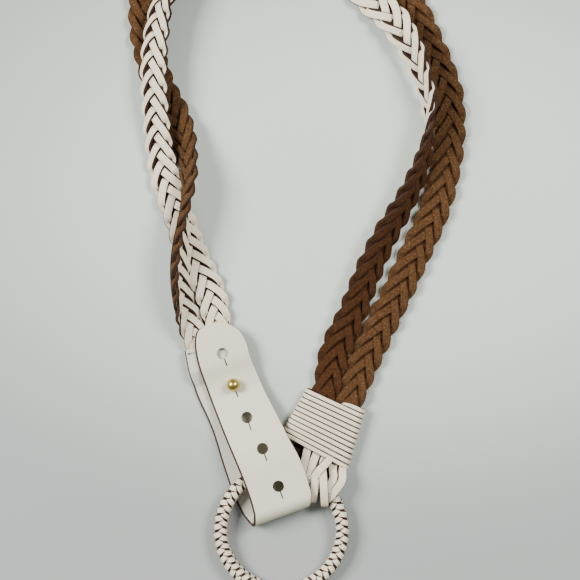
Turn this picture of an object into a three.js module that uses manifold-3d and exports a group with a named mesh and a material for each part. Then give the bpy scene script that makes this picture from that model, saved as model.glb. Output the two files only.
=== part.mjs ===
import * as THREE from "three";
import { mergeVertices } from "three/addons/utils/BufferGeometryUtils.js";
import Module from "manifold-3d";

const wasm = await Module();
wasm.setup();

// A closed belt of two flat-braided leather straps, lying on a table, in millimetres, +Z up.
// The straps leave a lace whipping beside a laced ring, go once round the loop and end in the root of a
// leather tab. The tab goes down under the ring, folds back over it and is buttoned on a ball stud.

// Loop that the two straps lie in, from the ring's centre to its far side
const loopWidth = 180;
const loopLength = 362;

// Straps, each a flat braid of five laces
const strapWidth = 18.3;
const strapThick = 4.6;
const strapPitch = 11;
const strapGap = 0.4;
const strapSeat = 0.15;
const braidAngle = 28;
const braidRelief = 0.8;
const clearance = 0.3;

// Ring, tilted so that its near end lies on the table and its far end on the tab and the laces
const ringRadius = 35;
const ringTube = 8.6;
const ringTurns = 24;
const ringRelief = 0.3;

// Whipping round both strap ends
const whipLength = 34;
const whipWidth = 36;
const whipFlare = 8;
const whipWall = 1.8;
const whipTurns = 11;
const whipLean = 22.7;
const whipReach = 10.7;
const whipStrapDepth = 19;
const squeezedThick = 3.9;

// Laces from the whipping round the ring
const laceCount = 5;
const laceWidth = 4;
const laceThick = 1.2;
const laceStep = 4.5;
const laceFirst = -2.9;
const laceDepth = 12;
const laceFanStep = 8.5;

// Leather tab
const leather = 2;
const tabLength = 117.2;
const tipOverlap = 9.6;
const tabBack = tabLength - tipOverlap;
const tabWidth = 34.5;
const tabLean = 20;
const tabInset = 8.7;
const tabOffset = 1.6;
const foldDepth = 6.5;
const rootHeight = 6;
const rootPly = 1.2;
const rootDepth = 12;
const keyholeDiameter = 6.5;
const keyholeSlit = 4.2;
const slitWidth = 0.7;

// Ball stud
const ballDiameter = 7.6;
const neckDiameter = 4;
const flangeDiameter = 9;
const flangeThick = 0.7;
const shankDiameter = 3;
const headDiameter = 8;
const headThick = 0.6;
const headSink = 0.1;

// Stations of the loop from the whipping's mouth to the tab's root. x and y are shares of the loop's width
// and length, from a base that slides evenly from the mouth to the root. apart is the distance between the
// two centre lines as a share of the strap's step, above 0 where the outer strap lies outside. The rolls
// are in degrees, 0 with the white face up, and the lifts are shares of the strap's thickness.
const stationColumns = ["x", "y", "apart", "rollOuter", "rollInner", "liftOuter", "liftInner"];
const stations = [
  [0.052, 0.059, 1.06, 180, 172, 0.0, 0.0],
  [0.122, 0.117, 1.07, 180, 155, 0.0, 0.0],
  [0.186, 0.172, 1.08, 180, 148, 0.0, 0.0],
  [0.255, 0.229, 1.02, 180, 140, 0.0, 0.0],
  [0.328, 0.284, 0.90, 180, 130, 0.0, 0.0],
  [0.385, 0.341, 0.76, 180, 120, 0.0, 0.3],
  [0.420, 0.396, 0.68, 180, 100, 0.0, 0.5],
  [0.433, 0.447, 0.64, 180, 72, 0.0, 0.7],
  [0.423, 0.485, 0.65, 180, 62, 0.0, 1.0],
  [0.398, 0.530, 0.60, 180, 44, 0.0, 1.2],
  [0.356, 0.580, 0.74, 180, 10, 0.0, 1.0],
  [0.292, 0.627, 1.06, 180, 0, 0.0, 0.0],
  [0.209, 0.681, 1.09, 180, 0, 0.0, 0.0],
  [0.109, 0.726, 1.06, 180, 0, 0.0, 0.0],
  [-0.006, 0.744, 1.06, 180, 0, 0.0, 0.0],
  [-0.122, 0.731, 1.06, 180, -8, 0.0, 0.0],
  [-0.218, 0.690, 1.02, 180, -25, 0.0, 0.0],
  [-0.288, 0.634, 0.87, 180, -50, 0.0, 0.4],
  [-0.326, 0.582, 0.62, 180, -60, 0.0, 1.0],
  [-0.324, 0.531, 0.40, 180, -46, 0.0, 1.1],
  [-0.307, 0.480, 0.12, 180, -36, 0.0, 1.1],
  [-0.278, 0.429, -0.16, 180, -32, 0.0, 1.1],
  [-0.237, 0.378, -0.58, 168, -31, 0.0, 0.5],
  [-0.201, 0.326, -0.79, 134, -28, 0.0, 0.0],
  [-0.172, 0.275, -0.70, 116, -12, 1.1, 0.0],
  [-0.147, 0.224, -0.26, 100, 0, 1.2, 0.0],
  [-0.124, 0.173, 0.17, 80, 0, 1.2, 0.0],
  [-0.094, 0.122, 0.60, 69, 0, 1.0, 0.0],
  [-0.053, 0.070, 0.90, 52, 0, 0.2, 0.0],
];

// Back layer of the tab from its root to the fold: along is a share of its length, left and right are
// shares of the tab's width on either side of the tab's axis.
const backColumns = ["along", "left", "right"];
const backRows = [
  [1.00, -0.55, 0.35],
  [0.89, -0.61, 0.37],
  [0.73, -0.61, 0.38],
  [0.55, -0.57, 0.40],
  [0.34, -0.60, 0.39],
  [0.17, -0.62, 0.39],
];

// Front layer from the fold to the tip. overRing lifts it from the stud's flange to the ring's top, and
// overRoot to the root's top.
const frontColumns = ["along", "left", "right", "overRing", "overRoot"];
const frontRows = [
  [0.120, -0.350, 0.655, 1.00, 0.00],
  [0.190, -0.345, 0.665, 1.00, 0.00],
  [0.265, -0.350, 0.645, 1.00, 0.00],
  [0.343, -0.365, 0.600, 0.88, 0.00],
  [0.430, -0.385, 0.565, 0.62, 0.00],
  [0.514, -0.400, 0.525, 0.33, 0.00],
  [0.600, -0.410, 0.485, 0.10, 0.00],
  [0.643, -0.415, 0.475, 0.00, 0.00],
  [0.722, -0.415, 0.465, 0.00, 0.12],
  [0.790, -0.410, 0.460, 0.00, 1.00],
  [0.865, -0.390, 0.475, 0.00, 1.00],
  [0.922, -0.350, 0.432, 0.00, 1.00],
  [0.956, -0.305, 0.350, 0.00, 1.00],
  [0.981, -0.250, 0.255, 0.00, 1.00],
  [0.994, -0.190, 0.170, 0.00, 1.00],
  [1.000, -0.090, 0.070, 0.00, 1.00],
];
const foldFront = { left: -0.37, right: 0.635 };

// Keyholes from the tip to the fold, as shares of the tab's length and width; the stud is in the second
const keyholes = [
  { along: 0.843, across: 0.043 },
  { along: 0.680, across: 0.032 },
  { along: 0.508, across: 0.061 },
  { along: 0.342, across: 0.136 },
  { along: 0.144, across: 0.171 },
];
const studHole = keyholes[1];

const radians = THREE.MathUtils.degToRad;

// Rows of a table as objects with its column names
function named(columns, rows) {
  return rows.map((row) => Object.fromEntries(columns.map((column, i) => [column, row[i]])));
}

// Value of a column at a row number with a fraction, by the Catmull-Rom rule
function column(rows, key, position) {
  const last = rows.length - 1;
  const i = Math.min(Math.floor(position), last - 1);
  const t = position - i;
  const [a, b, c, d] = [i - 1, i, i + 1, i + 2].map((j) => rows[THREE.MathUtils.clamp(j, 0, last)][key]);
  return b + 0.5 * t * (c - a + t * (2 * a - 5 * b + 4 * c - d + t * (3 * (b - c) + d - a)));
}

// Closed mesh through rings of points; the ends are capped, or meet when the rings go right round
function loft(rings, goesRound = false) {
  const count = rings[0].length;
  const points = rings.flat();
  const faces = [];
  const steps = goesRound ? rings.length : rings.length - 1;
  for (let i = 0; i < steps; i++) {
    for (let j = 0; j < count; j++) {
      const [a, b] = [i * count + j, i * count + ((j + 1) % count)];
      const [c, d] = [a, b].map((k) => (k + count) % (rings.length * count));
      faces.push(a, b, d, a, d, c);
    }
  }
  if (!goesRound) {
    for (const [ring, first, turn] of [[rings[0], 0, 1], [rings.at(-1), (rings.length - 1) * count, 0]]) {
      const centre = ring.reduce((sum, p) => sum.add(p), new THREE.Vector3()).divideScalar(count);
      points.push(centre);
      for (let j = 0; j < count; j++) {
        const [a, b] = [first + j, first + ((j + 1) % count)];
        faces.push(points.length - 1, turn ? b : a, turn ? a : b);
      }
    }
  }
  const geometry = new THREE.BufferGeometry().setFromPoints(points);
  geometry.setIndex(faces);
  return geometry;
}

// Closed body of a geometry, with its faces pointing out
function body(geometry) {
  const bare = geometry.index ? geometry : geometry.clone();
  bare.deleteAttribute("normal");
  bare.deleteAttribute("uv");
  const merged = mergeVertices(bare, 1e-4);
  const vertices = Float32Array.from(merged.attributes.position.array);
  const faces = [];
  for (let i = 0; i < merged.index.count; i += 3) {
    const [a, b, c] = [0, 1, 2].map((j) => merged.index.getX(i + j));
    if (a !== b && b !== c && c !== a) faces.push([a, b, c]);
  }
  const corner = (k) => new THREE.Vector3().fromArray(vertices, 3 * k);
  const volume = faces.reduce((sum, [a, b, c]) => sum + corner(a).dot(corner(b).cross(corner(c))), 0);
  const triVerts = Uint32Array.from(faces.flatMap(([a, b, c]) => (volume < 0 ? [a, c, b] : [a, b, c])));
  return new wasm.Manifold(new wasm.Mesh({ numProp: 3, vertProperties: vertices, triVerts }));
}

// Named mesh of a closed body
function piece(name, solid, look) {
  const mesh = solid.getMesh();
  const geometry = new THREE.BufferGeometry();
  geometry.setAttribute("position", new THREE.BufferAttribute(mesh.vertProperties, 3));
  geometry.setIndex(new THREE.BufferAttribute(mesh.triVerts, 1));
  geometry.computeVertexNormals();
  const result = new THREE.Mesh(geometry, new THREE.MeshStandardMaterial(look));
  result.name = name;
  return result;
}

const whiteLeather = { color: 0xdedad0, roughness: 0.5 };
const strapLeather = { color: 0x8a5a38, roughness: 0.8 };
const brass = { color: 0xc2a24a, roughness: 0.25, metalness: 1 };

// The whipping's axis points from the ring's centre to the straps, its side axis to the outer strap
const whipAxis = new THREE.Vector3(Math.sin(radians(whipLean)), Math.cos(radians(whipLean)), 0);
const whipSide = new THREE.Vector3(whipAxis.y, -whipAxis.x, 0);
const whipStart = ringRadius + ringTube / 2 + whipReach;
const whipHalfHeight = squeezedThick / 2 + clearance + whipWall;

function onWhipping(across, along, height) {
  const point = whipAxis.clone().multiplyScalar(whipStart + along).addScaledVector(whipSide, across);
  return point.setZ(height);
}

// The tab's axis points from the fold to the tip and the root, its side axis to the right
const tabAxis = new THREE.Vector3(-Math.sin(radians(tabLean)), Math.cos(radians(tabLean)), 0);
const tabSide = new THREE.Vector3(tabAxis.y, -tabAxis.x, 0);
const foldPoint = tabAxis.clone().multiplyScalar(tabInset).addScaledVector(tabSide, tabOffset);
const backSections = named(backColumns, backRows);
const rootLeft = backSections[0].left * tabWidth;
const rootRight = backSections[0].right * tabWidth;
const rootMiddle = (rootLeft + rootRight) / 2;

function onTab(across, along, height) {
  const point = foldPoint.clone().addScaledVector(tabAxis, along).addScaledVector(tabSide, across);
  return point.setZ(height);
}

// Sizes of the strap ends in the whipping and in the root
const whipEnd = { width: (whipWidth - 2 * whipWall - 3 * clearance) / 2, thick: squeezedThick };
const rootEnd = {
  width: (rootRight - rootLeft - 2 * rootPly - 3 * clearance) / 2,
  thick: rootHeight - 2 * rootPly - 2 * clearance,
};

// Rows of the loop in millimetres, from inside the whipping to inside the root
function loopRows() {
  const mouth = onWhipping(0, whipLength, 0);
  const root = onTab(rootMiddle, tabBack, 0);
  const full = { width: strapWidth, thick: strapThick };
  const rows = named(stationColumns, stations).map((row, i) => {
    const base = mouth.clone().lerp(root, (i + 1) / (stations.length + 1));
    return {
      ...row,
      ...full,
      x: base.x + row.x * loopWidth,
      y: base.y + row.y * loopLength,
      apart: row.apart * (strapWidth + strapGap),
      liftOuter: row.liftOuter * strapThick,
      liftInner: row.liftInner * strapThick,
    };
  });
  const held = (point, end, roll, height) => ({
    x: point.x,
    y: point.y,
    apart: end.width + clearance,
    rollOuter: roll,
    rollInner: roll,
    liftOuter: height - end.thick / 2 - strapSeat,
    liftInner: height - end.thick / 2 - strapSeat,
    ...end,
  });
  const rootCentre = rootPly + clearance + rootEnd.thick / 2;
  return [
    held(onWhipping(0, whipLength - whipStrapDepth, 0), whipEnd, 180, whipHalfHeight),
    held(mouth, whipEnd, 180, whipHalfHeight),
    ...rows,
    held(root, rootEnd, 0, rootCentre),
    held(onTab(rootMiddle, tabBack - rootDepth + clearance, 0), rootEnd, 0, rootCentre),
  ];
}

// Centre line of one strap with its side and face directions at any length along it. A rolled strap's
// centre lies as high as an edge between an oval's and a box's would bring it.
const roundnessPower = 1.4;
const samplesPerRow = 24;
function strapRoute(rows, hand, rollKey, liftKey) {
  const samples = [];
  for (let k = 0; k <= (rows.length - 1) * samplesPerRow; k++) {
    const at = k / samplesPerRow;
    const ahead = Math.min(at + 0.01, rows.length - 1);
    const [dx, dy] = ["x", "y"].map((key) => column(rows, key, ahead) - column(rows, key, ahead - 0.02));
    const right = new THREE.Vector3(dy, -dx, 0).normalize();
    const roll = radians(column(rows, rollKey, at));
    const width = column(rows, "width", at);
    const thick = column(rows, "thick", at);
    const [rise, flat] = [(Math.sin(roll) * width) / 2, (Math.cos(roll) * thick) / 2];
    const powers = Math.abs(rise) ** roundnessPower + Math.abs(flat) ** roundnessPower;
    const height = powers ** (1 / roundnessPower);
    const centre = new THREE.Vector3(column(rows, "x", at), column(rows, "y", at), 0)
      .addScaledVector(right, (hand * column(rows, "apart", at)) / 2)
      .setZ(strapSeat + height + Math.max(column(rows, liftKey, at), 0));
    samples.push({ centre, roll, width, thick, length: 0 });
  }
  for (let k = 1; k < samples.length; k++) {
    samples[k].length = samples[k - 1].length + samples[k].centre.distanceTo(samples[k - 1].centre);
  }
  const total = samples.at(-1).length;

  function at(length) {
    const wanted = THREE.MathUtils.clamp(length, 0, total);
    let k = 1;
    while (k < samples.length - 1 && samples[k].length < wanted) k++;
    const [a, b] = [samples[k - 1], samples[k]];
    const t = (wanted - a.length) / (b.length - a.length);
    const mix = (key) => THREE.MathUtils.lerp(a[key], b[key], t);
    const from = samples[Math.max(k - 2, 0)].centre;
    const to = samples[Math.min(k + 1, samples.length - 1)].centre;
    const right = new THREE.Vector3(to.y - from.y, from.x - to.x, 0).normalize();
    const [sin, cos] = [Math.sin(mix("roll")), Math.cos(mix("roll"))];
    return {
      centre: a.centre.clone().lerp(b.centre, t),
      across: right.clone().multiplyScalar(cos).setZ(sin),
      face: right.clone().multiplyScalar(-sin).setZ(cos),
      width: mix("width"),
      thick: mix("thick"),
    };
  }
  return { total, at };
}

// One strap as a woven band. Its sections are chevrons that follow the laces, two to a pitch, and every
// other one is drawn in, in turn on the left and on the right half. They straighten towards both ends.
const fadeRatio = 3;
function strap(name, hand, rollKey, liftKey) {
  const route = strapRoute(loopRows(), hand, rollKey, liftKey);
  const pitches = Math.round(route.total / strapPitch);
  const outline = [[-1, 0], [-0.62, 1], [0, 1], [0.62, 1], [1, 0], [0.62, -1], [0, -1], [-0.62, -1]];
  const reach = strapWidth / 2 / Math.tan(radians(braidAngle));
  const rings = [];
  for (let i = 0; i <= 2 * pitches; i++) {
    const length = (route.total * i) / (2 * pitches);
    const fade = THREE.MathUtils.smoothstep(Math.min(length, route.total - length), 0, fadeRatio * reach);
    rings.push(outline.map(([side, top]) => {
      const here = route.at(length - top * fade * reach * (1 - Math.abs(side)));
      const drawnIn = side === 0 ? 0.5 : ((i + (side > 0 ? 1 : 0)) % 2);
      const across = side * (here.width / 2 - (top === 0 ? drawnIn * braidRelief : 0));
      const height = top * (here.thick / 2 - (drawnIn * braidRelief) / 2);
      return here.centre.addScaledVector(here.across, across).addScaledVector(here.face, height);
    }));
  }
  return piece(name, body(loft(rings)), strapLeather);
}

// Flat oval of a sleeve's section: two half rounds of the half height, spread to the half width
function oval(halfWidth, halfHeight, along, points = 16) {
  return Array.from({ length: points }, (_, j) => {
    const turn = (2 * Math.PI * (j + 0.5)) / points;
    const spread = Math.sign(Math.cos(turn)) * (halfWidth - halfHeight);
    return new THREE.Vector3(spread + halfHeight * Math.cos(turn), along, halfHeight * Math.sin(turn));
  });
}

// Whipping as a ridged sleeve that widens towards the ring, with the strap ends and laces in its hollow
function whipping() {
  const halfWidth = (along) => whipWidth / 2 + (whipFlare / 2) * (1 - along / whipLength);
  const outside = Array.from({ length: 2 * whipTurns + 1 }, (_, i) => {
    const along = (whipLength * i) / (2 * whipTurns);
    const groove = i % 2 === 0 ? whipWall / 3 : 0;
    return oval(halfWidth(along) - groove, whipHalfHeight - groove, along);
  });
  const inside = [whipLength, 0].map((along) => {
    return oval(halfWidth(along) - whipWall, whipHalfHeight - whipWall, along);
  });
  const result = piece("whipping", body(loft([...outside, ...inside], true)), whiteLeather);
  result.rotation.z = -radians(whipLean);
  result.position.copy(onWhipping(0, 0, whipHalfHeight));
  return result;
}

// Height of the ring's far end above its near end, so that it clears the tab where the tab's left edge
// crosses it, and height of the middle of its tube at an angle from the X axis
const crossingShare = 0.8;
const ringRise = (leather + clearance) / crossingShare;
function tubeHeight(angle) {
  return ringTube / 2 + (ringRise / 2) * (1 + Math.sin(angle));
}

// Ring with the laces of its cover as a low chequer of relief
function ring() {
  const around = 10;
  const rings = Array.from({ length: 2 * ringTurns }, (_, i) => {
    const angle = (Math.PI * i) / ringTurns;
    return Array.from({ length: around }, (_, j) => {
      const turn = (2 * Math.PI * j) / around;
      const tube = ringTube / 2 - ((i + j) % 2) * ringRelief;
      const radius = ringRadius + tube * Math.cos(turn);
      return new THREE.Vector3(radius * Math.cos(angle), radius * Math.sin(angle), tube * Math.sin(turn));
    });
  });
  const result = piece("ring", body(loft(rings, true)), whiteLeather);
  result.rotation.x = Math.asin(ringRise / (2 * ringRadius));
  result.position.z = tubeHeight(0);
  return result;
}

// Angle on the ring of the first lace, which lies against the tab's right edge
const edgeAcross = foldFront.right * tabWidth + tabOffset;
const laceHalf = laceWidth / 2 + clearance;
const firstLaceAngle = Math.PI / 2 + radians(tabLean) - Math.asin((edgeAcross + laceHalf) / ringRadius);

// Lace from the whipping's hollow over the ring, round it and back under it into the hollow
function ringLace(index) {
  const angle = firstLaceAngle - radians(laceFanStep) * index;
  const outward = new THREE.Vector3(Math.cos(angle), Math.sin(angle), 0);
  const sideways = new THREE.Vector3(outward.y, -outward.x, 0);
  const tube = outward.clone().multiplyScalar(ringRadius).setZ(tubeHeight(angle));
  const wrap = ringTube / 2 + clearance + laceThick / 2;
  const across = laceFirst + laceStep * index;
  const legHeight = squeezedThick / 2 - laceThick / 2;
  const [over, under] = [1, -1].map((side) => {
    const height = whipHalfHeight + side * legHeight;
    const mouth = onWhipping(across, 0, height);
    const away = mouth.clone().sub(tube);
    const distance = Math.hypot(away.dot(outward), away.z);
    const swing = Math.atan2(away.z, away.dot(outward)) + side * Math.acos(wrap / distance);
    return { inner: onWhipping(across, laceDepth, height), mouth, swing };
  });
  const arc = Array.from({ length: 11 }, (_, i) => {
    const swing = THREE.MathUtils.lerp(over.swing, under.swing + 2 * Math.PI, i / 10);
    const centre = tube.clone().addScaledVector(outward, wrap * Math.cos(swing));
    return { centre: centre.setZ(tube.z + wrap * Math.sin(swing)), side: sideways };
  });
  const points = [
    { centre: over.inner, side: whipSide },
    { centre: over.mouth, side: whipSide },
    ...arc,
    { centre: under.mouth, side: whipSide },
    { centre: under.inner, side: whipSide },
  ];
  const rings = points.map(({ centre, side }, i) => {
    const from = points[Math.max(i - 1, 0)].centre;
    const to = points[Math.min(i + 1, points.length - 1)].centre;
    const flat = to.clone().sub(from).cross(side).normalize();
    return [[1, 1], [-1, 1], [-1, -1], [1, -1]].map(([s, f]) => centre.clone()
      .addScaledVector(side, (s * laceWidth) / 2)
      .addScaledVector(flat, (f * laceThick) / 2));
  });
  return piece(`ring_lace_${index + 1}`, body(loft(rings)), whiteLeather);
}

// Heights of the front layer's middle: on the stud's flange, over the ring's top, over the root's top
const seatHeight = leather + clearance + flangeThick + clearance + leather / 2;
const crestHeight = tubeHeight(Math.PI / 2) + ringTube / 2 + laceThick + 2 * clearance + leather / 2;
const rootCrossing = rootHeight + clearance + leather / 2;

const frontSections = named(frontColumns, frontRows).map((row) => {
  const lift = row.overRing * (crestHeight - seatHeight) + row.overRoot * (rootCrossing - seatHeight);
  return { ...row, along: row.along * tabLength, height: seatHeight + lift, top: leather };
});

// Sections of the tab's strip from the root round the fold to the tip, in the tab's own axes
const foldSteps = 8;
function tabSections() {
  const rows = [];
  const blockEnd = tabBack - rootDepth - rootPly;
  const slopeEnd = blockEnd - (rootHeight - leather);
  const back = (along, key) => {
    const share = along / tabBack;
    const i = Math.max(1, backSections.findIndex((row) => row.along <= share));
    const [a, b] = [backSections[i - 1], backSections[i]];
    return THREE.MathUtils.mapLinear(share, a.along, b.along, a[key], b[key]);
  };
  for (const [along, top] of [[tabBack, rootHeight], [blockEnd, rootHeight], [slopeEnd, leather]]) {
    rows.push({ along, height: leather / 2, top, left: back(along, "left"), right: back(along, "right") });
  }
  for (const row of backSections.filter((section) => section.along * tabBack < slopeEnd)) {
    rows.push({ ...row, along: row.along * tabBack, height: leather / 2, top: leather });
  }
  const foldBack = backSections.at(-1);
  const middle = (leather / 2 + crestHeight) / 2;
  for (let i = 0; i <= foldSteps; i++) {
    const turn = -Math.PI / 2 + (Math.PI * i) / foldSteps;
    rows.push({
      along: foldDepth * (1 - Math.cos(turn)),
      height: middle + (crestHeight - middle) * Math.sin(turn),
      top: leather,
      left: THREE.MathUtils.lerp(foldBack.left, foldFront.left, i / foldSteps),
      right: THREE.MathUtils.lerp(foldBack.right, foldFront.right, i / foldSteps),
    });
  }
  return [...rows, ...frontSections];
}

// Height of the front layer's middle at a length from the fold
function frontHeight(along) {
  const i = Math.max(frontSections.findIndex((row) => row.along >= along), 1);
  const [a, b] = [frontSections[i - 1], frontSections[i]];
  return THREE.MathUtils.mapLinear(along, a.along, b.along, a.height, b.height);
}

// Upright cutter through the front layer for one keyhole: a round hole with a slit towards the fold
function keyholeCutter({ along, across }) {
  const radius = keyholeDiameter / 2;
  const half = Math.asin(slitWidth / keyholeDiameter);
  const shape = new THREE.Shape();
  shape.absarc(0, 0, radius, -Math.PI / 2 + half, 1.5 * Math.PI - half, false);
  shape.lineTo(-slitWidth / 2, -radius - keyholeSlit);
  shape.lineTo(slitWidth / 2, -radius - keyholeSlit);
  shape.closePath();
  const [before, after] = [-radius, radius].map((step) => frontHeight(along * tabLength + step));
  const slope = (after - before) / keyholeDiameter;
  const depth = 3 * leather;
  const cutter = new THREE.ExtrudeGeometry(shape, { depth, bevelEnabled: false, curveSegments: 8 });
  cutter.applyMatrix4(new THREE.Matrix4().makeShear(0, 0, 0, slope, 0, 0));
  const height = (before + after) / 2 - leather / 2 - clearance / 2;
  return body(cutter).translate([across * tabWidth, along * tabLength, height]);
}

function roundCutter(diameter, bottom, top) {
  const radius = diameter / 2;
  const cutter = new THREE.CylinderGeometry(radius, radius, top - bottom, 16).rotateX(Math.PI / 2);
  const [x, y] = [studHole.across * tabWidth, studHole.along * tabLength];
  return body(cutter).translate([x, y, (top + bottom) / 2]);
}

// Leather tab: one folded strip with its keyholes, the stud's hole and recess, and the root's two pockets
function tab() {
  const rows = tabSections();
  const rings = rows.map((row, i) => {
    const from = rows[Math.max(i - 1, 0)];
    const to = rows[Math.min(i + 1, rows.length - 1)];
    const slope = new THREE.Vector2(to.along - from.along, to.height - from.height).normalize();
    const point = (side, offset) => {
      const [along, height] = [row.along + slope.y * offset, row.height - slope.x * offset];
      return new THREE.Vector3(side * tabWidth, along, height);
    };
    const [under, over] = [-leather / 2, row.top - leather / 2];
    return [point(row.left, under), point(row.right, under), point(row.right, over), point(row.left, over)];
  });
  let solid = body(loft(rings));
  for (const keyhole of keyholes) solid = solid.subtract(keyholeCutter(keyhole));
  solid = solid.subtract(roundCutter(shankDiameter + 2 * clearance, -leather, 1.5 * leather));
  const headTop = headSink + headThick + clearance;
  solid = solid.subtract(roundCutter(headDiameter + 2 * clearance, -leather, headTop));
  for (const side of [-1, 1]) {
    const width = rootEnd.width + 1.5 * clearance;
    const pocket = new THREE.BoxGeometry(width, 2 * rootDepth, rootEnd.thick + 2 * clearance);
    const x = rootMiddle + (side * (rootEnd.width + clearance)) / 2;
    solid = solid.subtract(body(pocket).translate([x, tabBack, rootHeight / 2]));
  }
  return piece("tab", solid, whiteLeather);
}

// Ball stud: a flat screw head in the leather's underside, the shank, the flange, the neck and the ball
function stud() {
  const flangeTop = leather + clearance + flangeThick;
  const seatTop = seatHeight + leather / 2;
  const ballRadius = ballDiameter / 2;
  const ballHeight = seatTop + 2 * clearance + Math.sqrt(ballRadius ** 2 - (keyholeDiameter / 2) ** 2);
  const profile = [
    [0, headSink],
    [headDiameter / 2, headSink],
    [headDiameter / 2, headSink + headThick],
    [shankDiameter / 2, headSink + headThick],
    [shankDiameter / 2, leather + clearance],
    [flangeDiameter / 2, leather + clearance],
    [flangeDiameter / 2, flangeTop],
    [neckDiameter / 2, flangeTop],
  ].map(([radius, height]) => new THREE.Vector2(radius, height));
  const start = -Math.acos(neckDiameter / ballDiameter);
  for (let i = 0; i <= 8; i++) {
    const turn = THREE.MathUtils.lerp(start, Math.PI / 2, i / 8);
    const radius = i === 8 ? 0 : ballRadius * Math.cos(turn);
    profile.push(new THREE.Vector2(radius, ballHeight + ballRadius * Math.sin(turn)));
  }
  const result = piece("stud", body(new THREE.LatheGeometry(profile, 16).rotateX(Math.PI / 2)), brass);
  result.position.set(studHole.across * tabWidth, studHole.along * tabLength, 0);
  return result;
}

// The tab and its stud share the tab's own axes
const tabGroup = new THREE.Group();
tabGroup.add(tab(), stud());
tabGroup.rotation.z = radians(tabLean);
tabGroup.position.copy(foldPoint);

const belt = new THREE.Group();
belt.add(
  strap("outer_strap", 1, "rollOuter", "liftOuter"),
  strap("inner_strap", -1, "rollInner", "liftInner"),
  whipping(),
  ring(),
  ...Array.from({ length: laceCount }, (_, index) => ringLace(index)),
  tabGroup,
);

// The origin is the middle of the table under the belt
belt.updateMatrixWorld(true);
const box = new THREE.Box3().setFromObject(belt, true);
const middle = box.getCenter(new THREE.Vector3());
belt.position.set(-middle.x, -middle.y, -box.min.z);

export default belt;
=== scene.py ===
import math

import bpy
import numpy as np
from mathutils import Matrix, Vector


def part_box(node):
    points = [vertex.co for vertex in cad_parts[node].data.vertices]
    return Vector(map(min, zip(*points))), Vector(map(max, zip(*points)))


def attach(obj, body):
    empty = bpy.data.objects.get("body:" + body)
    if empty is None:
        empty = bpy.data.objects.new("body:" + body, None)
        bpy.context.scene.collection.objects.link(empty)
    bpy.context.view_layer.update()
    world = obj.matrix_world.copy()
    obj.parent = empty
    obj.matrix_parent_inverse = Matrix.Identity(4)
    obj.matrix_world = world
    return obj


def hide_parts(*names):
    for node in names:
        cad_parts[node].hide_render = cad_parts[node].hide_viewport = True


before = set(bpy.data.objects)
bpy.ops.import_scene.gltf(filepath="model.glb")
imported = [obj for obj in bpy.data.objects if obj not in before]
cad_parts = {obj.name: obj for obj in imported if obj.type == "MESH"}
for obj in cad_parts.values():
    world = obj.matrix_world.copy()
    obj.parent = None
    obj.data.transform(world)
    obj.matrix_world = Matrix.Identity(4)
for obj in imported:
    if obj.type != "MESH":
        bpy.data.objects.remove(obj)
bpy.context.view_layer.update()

# Everything is in metres, in the belt's own frame: the table is z = 0, +Y runs from the ring to the loop's
# far side. The sizes are those of the solids.
ringBox = np.array(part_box("ring"))
ringCentre = ringBox.mean(axis=0) * [1, 1, 0]
clearance = 0.0003


# Shader maths on sockets

class Value:
    # A socket of a node tree, with arithmetic that adds Math nodes.

    def __init__(self, shader, socket):
        self.shader, self.socket = shader, socket

    def maths(self, operation, *others):
        return self.shader.node("ShaderNodeMath", {"operation": operation}, self, *others)

    def __add__(self, other):
        return self.maths("ADD", other)

    def __radd__(self, other):
        return self.maths("ADD", other)

    def __mul__(self, other):
        return self.maths("MULTIPLY", other)

    def __rmul__(self, other):
        return self.maths("MULTIPLY", other)

    def __sub__(self, other):
        return self.maths("SUBTRACT", other)

    def __rsub__(self, other):
        return (self * -1).maths("ADD", other)

    def __abs__(self):
        return self.maths("ABSOLUTE")

    def step(self, low, high):
        # Smooth 0 to 1 between two values.
        settings = {"interpolation_type": "SMOOTHSTEP"}
        return self.shader.node("ShaderNodeMapRange", settings, self, low, high, 0.0, 1.0)


class Shader:
    # A material's node tree, built by calls.

    def __init__(self, name):
        self.material = bpy.data.materials.new(name)
        self.material.use_nodes = True
        self.tree = self.material.node_tree
        self.surface = self.tree.nodes["Principled BSDF"]

    def connect(self, socket, value):
        if isinstance(value, Value):
            self.tree.links.new(value.socket, socket)
        else:
            socket.default_value = value

    def node(self, kind, settings, *values, output=0, **named):
        made = self.tree.nodes.new(kind)
        for key, setting in settings.items():
            setattr(made, key, setting)
        for socket, value in zip([s for s in made.inputs if s.enabled], values):
            self.connect(socket, value)
        for key, value in named.items():
            self.connect(made.inputs[key], value)
        return Value(self, made.outputs[output])

    def attribute(self, name):
        return self.node("ShaderNodeAttribute", {"attribute_name": name}, output="Fac")

    def place(self):
        return self.node("ShaderNodeTexCoord", {}, output="Object")

    def noise(self, scale, detail=2.0, rough=0.5, stretch=(1, 1, 1)):
        where = self.place()
        if stretch != (1, 1, 1):
            where = self.node("ShaderNodeMapping", {}, Vector=where, Scale=stretch)
        return self.node("ShaderNodeTexNoise", {}, Vector=where, Scale=scale, Detail=detail, Roughness=rough)

    def mixed(self, share, first, second):
        made = self.tree.nodes.new("ShaderNodeMix")
        made.data_type = "RGBA"
        self.connect(made.inputs[0], share)
        for socket, colour in ((made.inputs[6], first), (made.inputs[7], second)):
            self.connect(socket, colour if isinstance(colour, Value) else (*colour, 1))
        return Value(self, made.outputs[2])

    def bump(self, height, distance, strength=1.0):
        return self.node("ShaderNodeBump", {}, Height=height, Distance=distance, Strength=strength)

    def finish(self, **sockets):
        for key, value in sockets.items():
            self.connect(self.surface.inputs[key.replace("_", " ")], value)
        return self.material


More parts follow.
